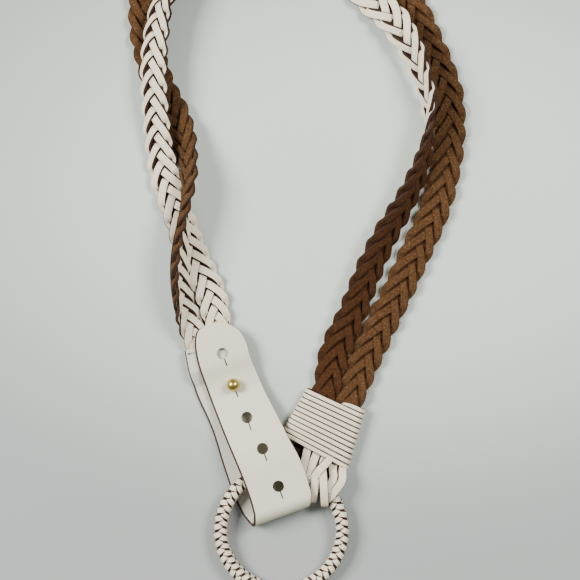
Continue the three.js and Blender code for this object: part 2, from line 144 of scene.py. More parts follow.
# Colours, linear
colours = {
    "white": (0.74, 0.645, 0.475),
    "whiteShade": (0.64, 0.545, 0.395),
    "tabWhite": (0.66, 0.63, 0.47),
    "tabShade": (0.61, 0.58, 0.43),
    # insideWhite and insideShade: the face inside the fold, a darker copy of the tab's leather, partly its
    # greyer flesh side and partly painted shade under the front layer and down the keyholes
    "insideWhite": (0.60, 0.57, 0.475),
    "insideShade": (0.54, 0.51, 0.42),
    "cutEdge": (0.028, 0.013, 0.008),
    "cutLight": (0.068, 0.033, 0.019),
    "suede": (0.092, 0.040, 0.012),
    "suedeDark": (0.048, 0.019, 0.005),
    "suedeLight": (0.34, 0.195, 0.08),
    "innerSuede": (0.068, 0.024, 0.0045),
    "innerDark": (0.030, 0.009, 0.0015),
    "innerLight": (0.19, 0.085, 0.022),
    "brass": (0.52, 0.40, 0.11),
    # table is the top's colour where it is lightest; tablePaintedShade is painted shade where the lamps'
    # light falls off towards the corners
    "table": (0.555, 0.610, 0.550),
    "tablePaintedShade": (0.335, 0.352, 0.337),
}


def laceMaterial(name, suede=("suede", "suedeDark", "suedeLight"), edgeStart=0.88):
    # Lace that is smooth and white on one face, dark at its cut edges and suede on its back. The piece's
    # attribute side is 1 on the white face and -1 on the back, across is -1 to 1 over its width.
    shader = Shader(name)
    side, across = shader.attribute("side"), shader.attribute("across")
    base, dark, light = (colours[key] for key in suede)
    cloud = shader.noise(90, 3)
    nap = shader.noise(1350, 4, 0.8)
    mottle = shader.noise(700, 4, 0.75)
    grain = shader.noise(2600, 2)
    whiteFace = side.step(0.55, 0.85) * (1 - abs(across).step(edgeStart, edgeStart + 0.08))
    white = shader.mixed(cloud.step(0.35, 0.75) * 0.6, colours["white"], colours["whiteShade"])
    brown = shader.mixed(mottle.step(0.32, 0.66), dark, base)
    brown = shader.mixed(nap.step(0.54, 0.68) * 0.75, brown, light)
    # The back face darkens towards the lace's edges: painted shade where the laces meet and pass under each
    # other
    brown = shader.mixed(abs(across).step(0.70, 0.94) * 0.75, brown, dark)
    edge = shader.mixed(mottle.step(0.4, 0.7), colours["cutEdge"], colours["cutLight"])
    backFace = 1 - side.step(-0.75, -0.35)
    body = shader.mixed(backFace, edge, brown)
    height = nap * (1 - whiteFace) + grain * 0.1
    return shader.finish(
        Base_Color=shader.mixed(whiteFace, body, white),
        Roughness=0.92 - whiteFace * 0.42,
        Specular_IOR_Level=0.22,
        Normal=shader.bump(height, 0.0007),
    )


def tabMaterial(name, base, shade):
    # Smooth white leather with faint clouds and creases.
    shader = Shader(name)
    cloud = shader.noise(38, 4, 0.55)
    crease = shader.noise(160, 3, 0.6, (1, 0.25, 1))
    pores = shader.noise(3200, 2)
    return shader.finish(
        Base_Color=shader.mixed(cloud.step(0.4, 0.8) * 0.5, colours[base], colours[shade]),
        Roughness=0.46 + cloud * 0.1,
        Normal=shader.bump(crease * 0.5 + pores * 0.1, 0.0002),
    )


def edgeMaterial():
    shader = Shader("cutEdge")
    fibre = shader.noise(1800, 3, 0.6)
    return shader.finish(
        Base_Color=shader.mixed(fibre.step(0.35, 0.75), colours["cutEdge"], colours["cutLight"]),
        Roughness=0.85,
        Normal=shader.bump(fibre, 0.0001),
    )


def brassMaterial():
    shader = Shader("brass")
    scratch = shader.noise(900, 3, 0.6)
    return shader.finish(
        Base_Color=(*colours["brass"], 1),
        Metallic=1.0,
        Roughness=0.24 + scratch * 0.14,
        Normal=shader.bump(scratch, 0.00003),
    )


# Painted light on the table: its lit middle, the frame's squeeze and the distances over which the painted
# shade comes in
tableLook = {"half": 2.0, "paintedLightCentre": (0.048, 0.018), "squeeze": (0.8, 1.25), "fade": (0.08, 0.26)}


def tableMaterial():
    # Pale top with painted light: it darkens smoothly away from its lightest place, as painted shade where
    # the lamps' light falls off, by the distance in a squeezed frame
    shader = Shader("tableTop")
    squeezeX, squeezeY = tableLook["squeeze"]
    squeezed = shader.node("ShaderNodeMapping", {}, Vector=shader.place(), Scale=(squeezeX, squeezeY, 1))
    paintedLightCentre = (tableLook["paintedLightCentre"][0] * squeezeX, tableLook["paintedLightCentre"][1] * squeezeY, 0)
    settings = {"operation": "DISTANCE"}
    away = shader.node("ShaderNodeVectorMath", settings, squeezed, paintedLightCentre, output="Value")
    return shader.finish(
        Base_Color=shader.mixed(away.step(*tableLook["fade"]), colours["table"], colours["tablePaintedShade"]),
        Roughness=0.7,
        Specular_IOR_Level=0.3,
    )


# Meshes

def unit(vectors):
    return vectors / np.linalg.norm(vectors, axis=-1, keepdims=True)


def laceProfile(width, thick, corner=0.0004):
    # Rounded rectangle: three points on each corner's arc and two between them, right round.
    # Returns the points (across, up) and the same as shares of the half sizes.
    arcs = np.radians(np.array([0, 45, 90]))
    halves = np.array([width / 2, thick / 2])
    points = []
    for signX, signY, turn in ((1, 1, 0), (-1, 1, 90), (-1, -1, 180), (1, -1, 270)):
        middle = (halves - corner) * [signX, signY]
        angle = arcs + np.radians(turn)
        points.append(middle + corner * np.stack([np.cos(angle), np.sin(angle)], axis=1))
        if turn in (0, 180):
            across = np.linspace(1, -1, 4)[1:3] * (halves[0] - corner) * signX
            points.append(np.stack([across, np.full(2, signY * halves[1])], axis=1))
    points = np.concatenate(points)
    return points, points / halves


def sweep(path, up, profile):
    # Profile carried along a path: the point is path + x * side + y * top, where side is the path's
    # direction crossed with up and top is side crossed with the direction.
    forward = unit(np.gradient(path, axis=0))
    side = unit(np.cross(forward, up))
    top = np.cross(side, forward)
    return path[:, None] + profile[..., :1] * side[:, None] + profile[..., 1:] * top[:, None]


def tubeFaces(rows, around, start):
    # Quads between neighbouring rows of a grid that closes round, and one cap at each end.
    i, j = np.meshgrid(np.arange(rows - 1) * around, np.arange(around), indexing="ij")
    k = (j + 1) % around
    quads = np.stack([i + j, i + k, i + k + around, i + j + around], axis=-1).reshape(-1, 4) + start
    first = start + np.arange(around)
    last = start + (rows - 1) * around + np.arange(around)
    return quads.tolist() + [first[::-1].tolist(), last.tolist()]


def makePiece(name, grids, material, shares=None, slots=None, shifts=None):
    # One mesh object from grids of points (row, around, xyz). Shares are the profile's (across, side)
    # for each point around, kept as attributes. Slots are the material slots of the quads around. Shifts
    # are added to each row's shares across, so that the dark cut edge's colour comes further over the face,
    # where it also stands as painted shade.
    faces, start = [], 0
    for grid in grids:
        faces += tubeFaces(grid.shape[0], grid.shape[1], start)
        start += grid.shape[0] * grid.shape[1]
    points = np.concatenate([grid.reshape(-1, 3) for grid in grids])
    corners = points[np.array([face[:3] for face in faces if len(face) == 4])]
    volume = np.einsum("ij,ij->", corners[:, 0], np.cross(corners[:, 1], corners[:, 2]))
    mesh = bpy.data.meshes.new(name)
    mesh.from_pydata(points, [], faces if volume > 0 else [face[::-1] for face in faces])
    mesh.polygons.foreach_set("use_smooth", np.ones(len(faces), dtype=bool))
    if slots is not None:
        index = [np.r_[np.tile(slots, grid.shape[0] - 1), 1, 1] for grid in grids]
        mesh.polygons.foreach_set("material_index", np.concatenate(index).astype(np.int32))
    if shares is not None:
        for column, key in enumerate(("across", "side")):
            rows = [np.tile(shares[:, column], (grid.shape[0], 1)) for grid in grids]
            if column == 0 and shifts is not None:
                rows = [row + shift[:, None] for row, shift in zip(rows, shifts)]
            values = np.concatenate([row.ravel() for row in rows])
            layer = mesh.attributes.new(key, "FLOAT", "POINT")
            layer.data.foreach_set("value", values.astype(np.float32))
    mesh.update()
    made = bpy.data.objects.new(name, mesh)
    bpy.context.scene.collection.objects.link(made)
    made.data.materials.append(material)
    return made


def dressed(made, slotName, *nodes):
    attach(made, "root")
    if nodes:
        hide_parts(*nodes)
    print("made", made.name, len(made.data.polygons), "faces")
    return made


# Camera, table and light

view = {"fromRing": (0.00493, 0.13862), "height": 0.95, "width": 0.3364, "sensor": 36.0}


def setCamera():
    camera = bpy.data.cameras.new("camera")
    camera.sensor_width = view["sensor"]
    camera.lens = view["sensor"] * view["height"] / view["width"]
    camera.clip_start, camera.clip_end = 0.01, 10
    holder = bpy.data.objects.new("camera", camera)
    holder.location = (*(ringCentre[:2] + view["fromRing"]), view["height"])
    bpy.context.scene.collection.objects.link(holder)
    bpy.context.scene.camera = holder


def setTable():
    half = tableLook["half"]
    mesh = bpy.data.meshes.new("tableTop")
    corners = [(-half, -half, 0), (half, -half, 0), (half, half, 0), (-half, half, 0)]
    mesh.from_pydata(corners, [], [(0, 1, 2, 3)])
    table = bpy.data.objects.new("tableTop", mesh)
    bpy.context.scene.collection.objects.link(table)
    table.data.materials.append(tableMaterial())


lights = [
    {"name": "windowLight", "place": (-1.25, 0.40, 1.25), "size": 0.75, "power": 62.0},
    {"name": "roomLight", "place": (0.85, 0.50, 1.10), "size": 0.55, "power": 27.0},
]
room = {"colour": (0.95, 0.99, 1.0), "strength": 0.24}


def setLights():
    for lamp in lights:
        data = bpy.data.lights.new(lamp["name"], "AREA")
        data.size, data.energy = lamp["size"], lamp["power"]
        holder = bpy.data.objects.new(lamp["name"], data)
        holder.location = lamp["place"]
        holder.rotation_euler = (-Vector(lamp["place"])).to_track_quat("-Z", "Y").to_euler()
        bpy.context.scene.collection.objects.link(holder)
    world = bpy.data.worlds.new("room")
    world.use_nodes = True
    background = world.node_tree.nodes["Background"].inputs
    background["Color"].default_value = (*room["colour"], 1)
    background["Strength"].default_value = room["strength"]
    bpy.context.scene.world = world


setCamera()
setTable()
setLights()
print("stage set")


# Frames of the whipping and the tab

whip = {
    "length": 0.034, "width": 0.036, "flare": 0.008, "wall": 0.0018, "lean": 22.7, "reach": 0.0107,
    "strapDepth": 0.019, "squeezed": 0.0039,
}
ringSize = {"radius": 0.035, "tube": 0.0086, "crossing": 0.8}
tab = {
    "leather": 0.002, "length": 0.1172, "tipOverlap": 0.0096, "width": 0.0345, "lean": 20.0,
    "inset": 0.0087, "offset": 0.0016, "foldDepth": 0.0065, "rootHeight": 0.006, "rootPly": 0.0012,
    "rootDepth": 0.012, "rootLeft": -0.55, "rootRight": 0.35,
    "edgeLean": 0.50, "stitch": (-0.0532, 0.1018, 0.0059), "stitchRadius": 0.0006,
}
tab["back"] = tab["length"] - tab["tipOverlap"]

whipAxis = np.array([math.sin(math.radians(whip["lean"])), math.cos(math.radians(whip["lean"])), 0])
whipSide = np.array([whipAxis[1], -whipAxis[0], 0])
whipStart = ringSize["radius"] + ringSize["tube"] / 2 + whip["reach"]
whipHalfHeight = whip["squeezed"] / 2 + clearance + whip["wall"]
tabAxis = np.array([-math.sin(math.radians(tab["lean"])), math.cos(math.radians(tab["lean"])), 0])
tabSide = np.array([tabAxis[1], -tabAxis[0], 0])
foldPoint = ringCentre + tabAxis * tab["inset"] + tabSide * tab["offset"]
upright = np.array([0.0, 0.0, 1.0])


def framed(start, side, axis, across, along, height):
    # Points of a flat frame: start + across * side + along * axis + height * up.
    across, along, height = np.broadcast_arrays(across, along, height)
    return start + across[..., None] * side + along[..., None] * axis + height[..., None] * upright


def onWhipping(across, along, height):
    return framed(ringCentre + whipAxis * whipStart, whipSide, whipAxis, across, along, height)


def onTab(across, along, height):
    return framed(foldPoint, tabSide, tabAxis, across, along, height)


# Straps

strap = {
    "width": 0.0183, "thick": 0.0046, "gap": 0.0004, "seat": 0.00015, "roundness": 1.4,
    "laceWidth": 0.0047, "laceThick": 0.0020, "laces": 5, "turnSharpness": 0.90, "crossSharpness": 0.28,
    "laceCorner": 0.00045, "crossShare": 1.0, "stepLength": 0.00102, "edgeRollShade": 0.55, "swell": 0.0006,
    "curlLift": 1 / 4.6, "heartShare": 0.72, "heartThick": 0.0006, "mouthPress": 0.0008,
}
loop = {"width": 0.180, "length": 0.362}
# x and y as shares of the loop from a base that slides from the whipping's mouth to the tab's root, the
# straps' distance as a share of their step, both rolls in degrees, both lifts as shares of the thickness
# and both curls in degrees, by which the half to the right of the way round bends out of the strap's plane
stations = np.array([
    [0.052, 0.059, 0.95, 180, 172, 0.0, 0.0, 0, 0],
    [0.122, 0.117, 0.97, 180, 155, 0.0, 0.0, 0, 0],
    [0.186, 0.172, 1.08, 180, 148, 0.0, 0.0, 0, 0],
    [0.255, 0.229, 1.08, 180, 140, 0.0, 0.0, 0, 0],
    [0.328, 0.284, 0.96, 180, 130, 0.0, 0.0, 0, 0],
    [0.385, 0.341, 0.79, 180, 120, 0.0, 0.3, 0, 0],
    [0.420, 0.396, 0.68, 180, 100, 0.0, 0.5, 0, 0],
    [0.433, 0.447, 0.64, 180, 72, 0.0, 0.7, 0, 0],
    [0.423, 0.485, 0.65, 180, 62, 0.0, 1.0, 0, 0],
    [0.398, 0.530, 0.60, 180, 44, 0.0, 1.2, 0, 0],
    [0.356, 0.580, 0.74, 180, 10, 0.0, 1.0, 0, 0],
    [0.292, 0.627, 1.06, 180, 0, 0.0, 0.0, 0, 0],
    [0.209, 0.681, 1.09, 180, 0, 0.0, 0.0, 0, 0],
    [0.109, 0.726, 1.06, 180, 0, 0.0, 0.0, 0, 0],
    [-0.006, 0.744, 1.06, 180, 0, 0.0, 0.0, 0, 0],
    [-0.122, 0.731, 1.06, 180, -8, 0.0, 0.0, 0, 0],
    [-0.218, 0.690, 1.02, 180, -25, 0.0, 0.0, 0, -8],
    [-0.288, 0.634, 0.87, 180, -42, 0.0, 0.4, 0, -20],
    [-0.326, 0.582, 0.62, 180, -44, 0.0, 1.0, 0, -32],
    [-0.324, 0.531, 0.40, 180, -35, 0.0, 1.1, 0, -38],
    [-0.307, 0.480, 0.12, 180, -29, 0.0, 1.1, 0, -38],
    [-0.278, 0.429, -0.16, 180, -26, 0.0, 1.1, 0, -38],
    [-0.237, 0.378, -0.58, 168, -25, 0.0, 0.5, 0, -34],
    [-0.201, 0.326, -0.79, 134, -22, 0.0, 0.0, 10, -28],
    [-0.172, 0.275, -0.70, 112, -8, 1.1, 0.0, 30, -16],
    [-0.147, 0.224, -0.26, 86, 8, 1.2, 0.0, 55, -6],
    [-0.124, 0.173, 0.17, 62, 13, 1.2, 0.0, 75, 0],
    [-0.094, 0.122, 0.60, 48, 15, 1.0, 0.0, 80, 0],
    [-0.053, 0.070, 0.90, 36, 10, 0.2, 0.0, 70, 0],
])
# Share of the strap's length, and the braid's pitch there
pitches = np.array([[0.0, 0.0116], [0.42, 0.0116], [0.75, 0.0107], [0.92, 0.0097], [1.0, 0.0092]])
rootMiddle = (tab["rootLeft"] + tab["rootRight"]) / 2 * tab["width"]
whipEnd = ((whip["width"] - 2 * whip["wall"] - 3 * clearance) / 2, whip["squeezed"])
rootEnd = (
    ((tab["rootRight"] - tab["rootLeft"]) * tab["width"] - 2 * tab["rootPly"] - 3 * clearance) / 2,
    tab["rootHeight"] - 2 * tab["rootPly"] - 2 * clearance,
)


def loopRows():
    # Columns x, y, apart, both rolls, both lifts, both curls, width and thickness, in metres, from inside
    # the whipping to inside the root.
    mouth = onWhipping(0.0, whip["length"], 0.0)
    root = onTab(rootMiddle, tab["back"], 0.0)
    share = (np.arange(len(stations)) + 1)[:, None] / (len(stations) + 1)
    base = mouth + (root - mouth) * share
    middle = np.column_stack([
        base[:, 0] + stations[:, 0] * loop["width"],
        base[:, 1] + stations[:, 1] * loop["length"],
        stations[:, 2] * (strap["width"] + strap["gap"]),
        stations[:, 3:5],
        stations[:, 5:7] * strap["thick"],
        stations[:, 7:9],
        np.full(len(stations), strap["width"]),
        np.full(len(stations), strap["thick"]),
    ])

    def held(point, end, roll, height, pressed=0.0):
        lift = height - end[1] / 2 - strap["seat"]
        return [point[0], point[1], end[0] - pressed, roll, roll, lift, lift, 0, 0, *end]

    rootCentre = tab["rootPly"] + clearance + rootEnd[1] / 2
    return np.vstack([
        held(onWhipping(0.0, whip["length"] - whip["strapDepth"], 0.0), whipEnd, 180, whipHalfHeight),
        held(mouth, whipEnd, 180, whipHalfHeight, strap["mouthPress"]),
        middle,
        held(root, rootEnd, 0, rootCentre),
        held(onTab(rootMiddle, tab["back"] - tab["rootDepth"] + clearance, 0.0), rootEnd, 0, rootCentre),
    ])


def spline(rows, at):
    # Catmull-Rom curve through all columns of the rows, at row numbers with a fraction.
    last = len(rows) - 1
    i = np.minimum(at.astype(int), last - 1)
    t = (at - i)[:, None]
    a, b, c, d = (rows[np.clip(i + k, 0, last)] for k in (-1, 0, 1, 2))
    return b + 0.5 * t * (c - a + t * (2 * a - 5 * b + 4 * c - d + t * (3 * (b - c) + d - a)))


def strapRoute(hand, rollColumn, liftColumn):
    # A strap's centre line with its side and face directions, sampled along its length. The centre is
    # half the straps' distance from the loop's line, and as high as the rolled section needs.
    rows = loopRows()
    data = spline(rows, np.linspace(0, len(rows) - 1, (len(rows) - 1) * 24 + 1))
    step = np.gradient(data[:, :2], axis=0)
    right = unit(np.column_stack([step[:, 1], -step[:, 0], np.zeros(len(step))]))
    roll = np.radians(data[:, rollColumn])
    width, thick = data[:, 9], data[:, 10]
    curl = np.radians(data[:, rollColumn + 4])
    power = strap["roundness"]
    rise = np.abs(np.sin(roll) * width / 2) ** power + np.abs(np.cos(roll) * thick / 2) ** power
    centre = np.column_stack([data[:, :2], np.zeros(len(data))]) + right * hand * data[:, 2:3] / 2
    centre[:, 2] = strap["seat"] + rise ** (1 / power) + np.maximum(data[:, liftColumn], 0)
    centre[:, 2] += np.maximum(-curl, 0) * width * strap["curlLift"]
    turned = np.gradient(centre[:, :2], axis=0)
    right = unit(np.column_stack([turned[:, 1], -turned[:, 0], np.zeros(len(turned))]))
    across = right * np.cos(roll)[:, None] + upright * np.sin(roll)[:, None]
    face = upright * np.cos(roll)[:, None] - right * np.sin(roll)[:, None]
    length = np.concatenate([[0], np.cumsum(np.linalg.norm(np.diff(centre, axis=0), axis=1))])
    return {"length": length, "table": np.column_stack([centre, across, face, width, thick, curl])}


def routeAt(route, lengths):
    # Centre, side and face directions, width, thickness and curl of a route at given lengths.
    wanted = np.clip(lengths, 0, route["length"][-1])
    data = np.column_stack([np.interp(wanted, route["length"], column) for column in route["table"].T])
    return data[:, :3], data[:, 3:6], data[:, 6:9], data[:, 9], data[:, 10], data[:, 11]


def braidLaces(route, seam):
    # Five laces of a flat braid, over two and under two. A lace's phase grows by 1 in five pitches, and
    # starts at k / 5. Its way across is a rounded triangle wave of the phase, arcsin(s * sin) / arcsin(s),
    # and its height is a soft square wave that changes sign at the strap's edges and at the seam. The half
    # with the curl lies on an arc: sin(a) / bend across and (1 - cos(a)) / bend up, with a = bend * across.
    profile, shares = laceProfile(strap["laceWidth"], strap["laceThick"], strap["laceCorner"])
    total = route["length"][-1]
    lengths = np.linspace(0, total, int(total / strap["stepLength"]))
    centre, across, face, width, thick, curl = routeAt(route, lengths)
    sharp = strap["turnSharpness"]
    pitch = np.interp(lengths / total, pitches[:, 0], pitches[:, 1])
    turns = np.cumsum(np.gradient(lengths) / (pitch * strap["laces"]))
    tilted = np.clip(-2 * across[:, 2], -1, 1)
    bend = np.where(np.abs(curl) < 0.01, 0.01, curl) / (width / 2)
    middle = np.interp(lengths / total, seam[:, 0], seam[:, 1])
    grids, shifts = [], []
    for k in range(strap["laces"]):
        phase = 2 * math.pi * (turns + k / strap["laces"])
        sideways = -np.arcsin(sharp * np.cos(phase)) / math.asin(sharp)
        square = 2 * np.sin(phase) * (middle - sideways)
        level = -square / np.sqrt(square ** 2 + strap["crossSharpness"] ** 2)
        wander = 0.00012 * np.sin(lengths * 190 + 2.1 * k) + 0.0001 * np.sin(lengths * 431 + 1.3 * k)
        offset = sideways * (width + strap["swell"] - strap["laceWidth"]) / 2 + wander
        height = level * (thick - strap["laceThick"]) / 2 * strap["crossShare"]
        angle = bend * np.maximum(offset, 0)
        flat = np.minimum(offset, 0) + np.sin(angle) / bend
        turned = face * np.cos(angle)[:, None] - across * np.sin(angle)[:, None]
        path = centre + across * flat[:, None] + face * ((1 - np.cos(angle)) / bend)[:, None]
        grids.append(sweep(path + turned * height[:, None], turned, profile))
        # On a tilted strap the dark cut-edge colour spreads over the laces' high side: partly the rolled
        # lace's own edge, partly painted shade in the gaps where each lace dives under the next
        onHigh = np.clip(np.sign(tilted) * sideways, 0, 1) ** 0.5
        shifts.append(-strap["edgeRollShade"] * tilted * onHigh * np.sqrt(np.clip(face[:, 2], 0, 1)))
    # The braid's flat heart in the cut-edge colour all over: the laces' dark backs below, and painted shade
    # in the gaps between the laces
    heart, _ = laceProfile(strap["width"] * strap["heartShare"], strap["heartThick"], 0.0002)
    grids.append(sweep(centre, face, heart))
    shifts.append(np.full(len(centre), 3.0))  # past 1, so the flat heart of the braid is dark all over
    return grids, shares, shifts


outerRoute = strapRoute(1, 3, 5)
innerRoute = strapRoute(-1, 4, 6)
outerSeam = np.array([[0, -0.12], [0.5, -0.10], [0.7, 0.0], [1.0, 0.0]])
innerSeam = np.array([[0, -0.16], [0.3, -0.16], [0.5, 0.0], [0.65, 0.12], [1.0, 0.0]])
braids = [
    ("outerBraid", outerRoute, "outer_strap", outerSeam, laceMaterial("outerLace")),
    ("innerBraid", innerRoute, "inner_strap", innerSeam,
     laceMaterial("innerLace", ("innerSuede", "innerDark", "innerLight"))),
]
for name, route, node, seam, material in braids:
    grids, shares, shifts = braidLaces(route, seam)
    dressed(makePiece(name, grids, material, shares, shifts=shifts), "strap_leather", node)


# Loose suede fibres on the edges of the outer strap

fuzz = {"count": 1500, "span": (0.02, 0.62), "length": (0.0010, 0.0026), "radius": 0.00010, "seed": 7}


def makeFuzz():
    # Each fibre is a thin three-sided spike: from a place near the strap's edge, along a direction that
    # is the way outwards plus a scattered part.
    dice = np.random.default_rng(fuzz["seed"])
    count = fuzz["count"]
    at = dice.uniform(*fuzz["span"], count) * outerRoute["length"][-1]
    centre, across, _, width, _, _ = routeAt(outerRoute, at)
    outwards = across * dice.choice([-1, 1], count)[:, None]
    foot = centre + outwards * (width / 2 * dice.uniform(0.86, 1.0, count))[:, None]
    way = unit(outwards + dice.normal(0, 0.5, (count, 3)))
    tip = foot + way * dice.uniform(*fuzz["length"], count)[:, None]
    tip[:, 2] = np.maximum(tip[:, 2], 0.0003)
    side = unit(np.cross(way, upright + 0.01))
    turn = np.radians([0, 120, 240])[:, None]
    spoke = fuzz["radius"] * (np.cos(turn) * side[:, None] + np.sin(turn) * np.cross(side, way)[:, None])
    grids = np.stack([foot[:, None] + spoke, tip[:, None] + 0.3 * spoke], axis=1)
    shader = Shader("fuzz")
    material = shader.finish(Base_Color=(*colours["suedeLight"], 1), Roughness=0.9)
    dressed(makePiece("outerFuzz", list(grids), material), "strap_leather")


makeFuzz()


# Ring: a core and its cover of four laces

ringLook = {
    "turns": 24, "laceWidth": 0.0041, "laceThick": 0.0014, "corner": 0.00045, "lift": 0.0008,
    "steps": 26, "coreShare": 0.66,
}
ringRise = (tab["leather"] + clearance) / ringSize["crossing"]
ringTilt = math.asin(ringRise / (2 * ringSize["radius"]))
whiteLace = laceMaterial("whiteLace", ("cutEdge", "cutEdge", "cutLight"), 0.74)


def tubeHeight(angle):
    return ringSize["tube"] / 2 + ringRise / 2 * (1 + np.sin(angle))


def onRing(angle, turn, radius):
    # Point of the ring's tube: out of the ring's middle line by radius, at a turn round the tube.
    flat = ringSize["radius"] + radius * np.cos(turn)
    up = radius * np.sin(turn)
    x, y = flat * np.cos(angle), flat * np.sin(angle)
    tilted = np.stack([x, y * math.cos(ringTilt) - up * math.sin(ringTilt),
                       y * math.sin(ringTilt) + up * math.cos(ringTilt)], axis=-1)
    return ringCentre + tilted + upright * tubeHeight(0.0)


def makeRing():
    # Cover: two laces turn one way round the tube and two the other, ring angle times the turns, and
    # rise and dip by a cosine of twice that, so that they go over one and under one. A slow half twist
    # on the way round keeps the pattern from being the same all over.
    profile, shares = laceProfile(ringLook["laceWidth"], ringLook["laceThick"], ringLook["corner"])
    angle = np.linspace(0, 2 * math.pi, ringLook["turns"] * ringLook["steps"] + 1)
    middle = ringSize["tube"] / 2 - ringLook["laceThick"] / 2 - ringLook["lift"]
    twist = 0.25 * math.pi + 0.5 * math.pi * (1 - np.cos(angle)) / 2
    grids = []
    for hand in (1, -1):
        for start in (0, math.pi):
            turn = hand * ringLook["turns"] * angle + start + twist
            radius = middle + hand * ringLook["lift"] * np.cos(2 * ringLook["turns"] * angle)
            path = onRing(angle, turn, radius)
            outward = unit(path - onRing(angle, turn, 0.0 * radius))
            room = 1 + radius * np.cos(turn) / ringSize["radius"]
            grids.append(sweep(path, outward, profile * np.stack([room, room * 0 + 1], axis=-1)[:, None]))
    material = laceMaterial("ringLaceCover", ("cutLight", "cutEdge", "cutLight"), 0.64)
    dressed(makePiece("ringCover", grids, material, shares), "white_lace", "ring")
    around = np.linspace(0, 2 * math.pi, 17)[:-1]
    ringAngles = np.linspace(0, 2 * math.pi, 97)
    core = onRing(ringAngles[:, None], around[None, :], ringSize["tube"] / 2 * ringLook["coreShare"])
    dressed(makePiece("ringCore", [core], edgeMaterial()), "white_lace")


makeRing()


# Whipping: one lace wound round the strap ends

whipLook = {
    "turns": 11.4, "laceThick": 0.0014, "corner": 0.0006, "cover": 0.96, "stepsPerTurn": 64,
    "slant": 0.07, "start": 0.048, "taperTurns": 0.11, "taperLeast": 0.12,
}


def ovalPoint(turn, halfWidth, halfHeight):
    # Flat oval: half rounds of the half height, joined by straight stretches, by the way round it.
    straight = halfWidth - halfHeight
    quarter = math.pi / 2 * halfHeight
    whole = straight + quarter
    part, within = np.divmod((turn % 1.0) * 4 * whole, whole)
    mirrored = (part % 2) == 1
    within = np.where(mirrored, whole - within, within)
    onFlat = within < straight
    arc = np.clip((within - straight) / halfHeight, 0, math.pi / 2)
    x = np.where(onFlat, within, straight + halfHeight * np.sin(arc))
    z = np.where(onFlat, halfHeight, halfHeight * np.cos(arc))
    x = x * np.where(part >= 2, -1, 1)
    z = z * np.where((part == 1) | (part == 2), -1, 1)
    return x, z


def makeWhipping():
    # The lace's middle goes round a flat oval that widens towards the ring, and down the whipping's axis
    # by one lace width a turn. The lace's first stretch is tapered, as a quarter of an ellipse.
    pitch = whip["length"] / (whipLook["turns"] + 0.35)
    profile, shares = laceProfile(pitch * whipLook["cover"], whipLook["laceThick"], whipLook["corner"])
    first = whipLook["start"]
    turn = np.linspace(first, whipLook["turns"], int(whipLook["turns"] * whipLook["stepsPerTurn"]))
    along = whip["length"] - pitch * (turn + 0.6)
    depth = 1 - along / whip["length"]
    halfWidth = whip["width"] / 2 + whip["flare"] / 2 * depth - whipLook["laceThick"] / 2
    halfHeight = whipHalfHeight - whipLook["laceThick"] / 2
    x, z = ovalPoint(turn, halfWidth, halfHeight)
    along = along - x * whipLook["slant"] * depth ** 2
    tapered = np.clip((turn - first) / whipLook["taperTurns"], 0, 1)
    least = whipLook["taperLeast"]
    tapered = least + (1 - least) * np.sqrt(1 - (1 - tapered) ** 2)
    along = along - (1 - tapered) * pitch / 2
    path = onWhipping(x, along, z + whipHalfHeight)
    inside = onWhipping(np.sign(x) * np.minimum(np.abs(x), halfWidth - halfHeight), along, whipHalfHeight)
    wide = np.stack([tapered, np.ones_like(tapered)], axis=-1)[:, None]
    grid = sweep(path, unit(path - inside), profile * wide)
    dressed(makePiece("whippingLace", [grid], whiteLace, shares), "white_lace", "whipping")


makeWhipping()


# Laces from the whipping round the ring

fan = {"width": 0.0050, "thick": 0.0012, "inside": 0.006, "mouth": 0.0006, "corner": 0.0003}
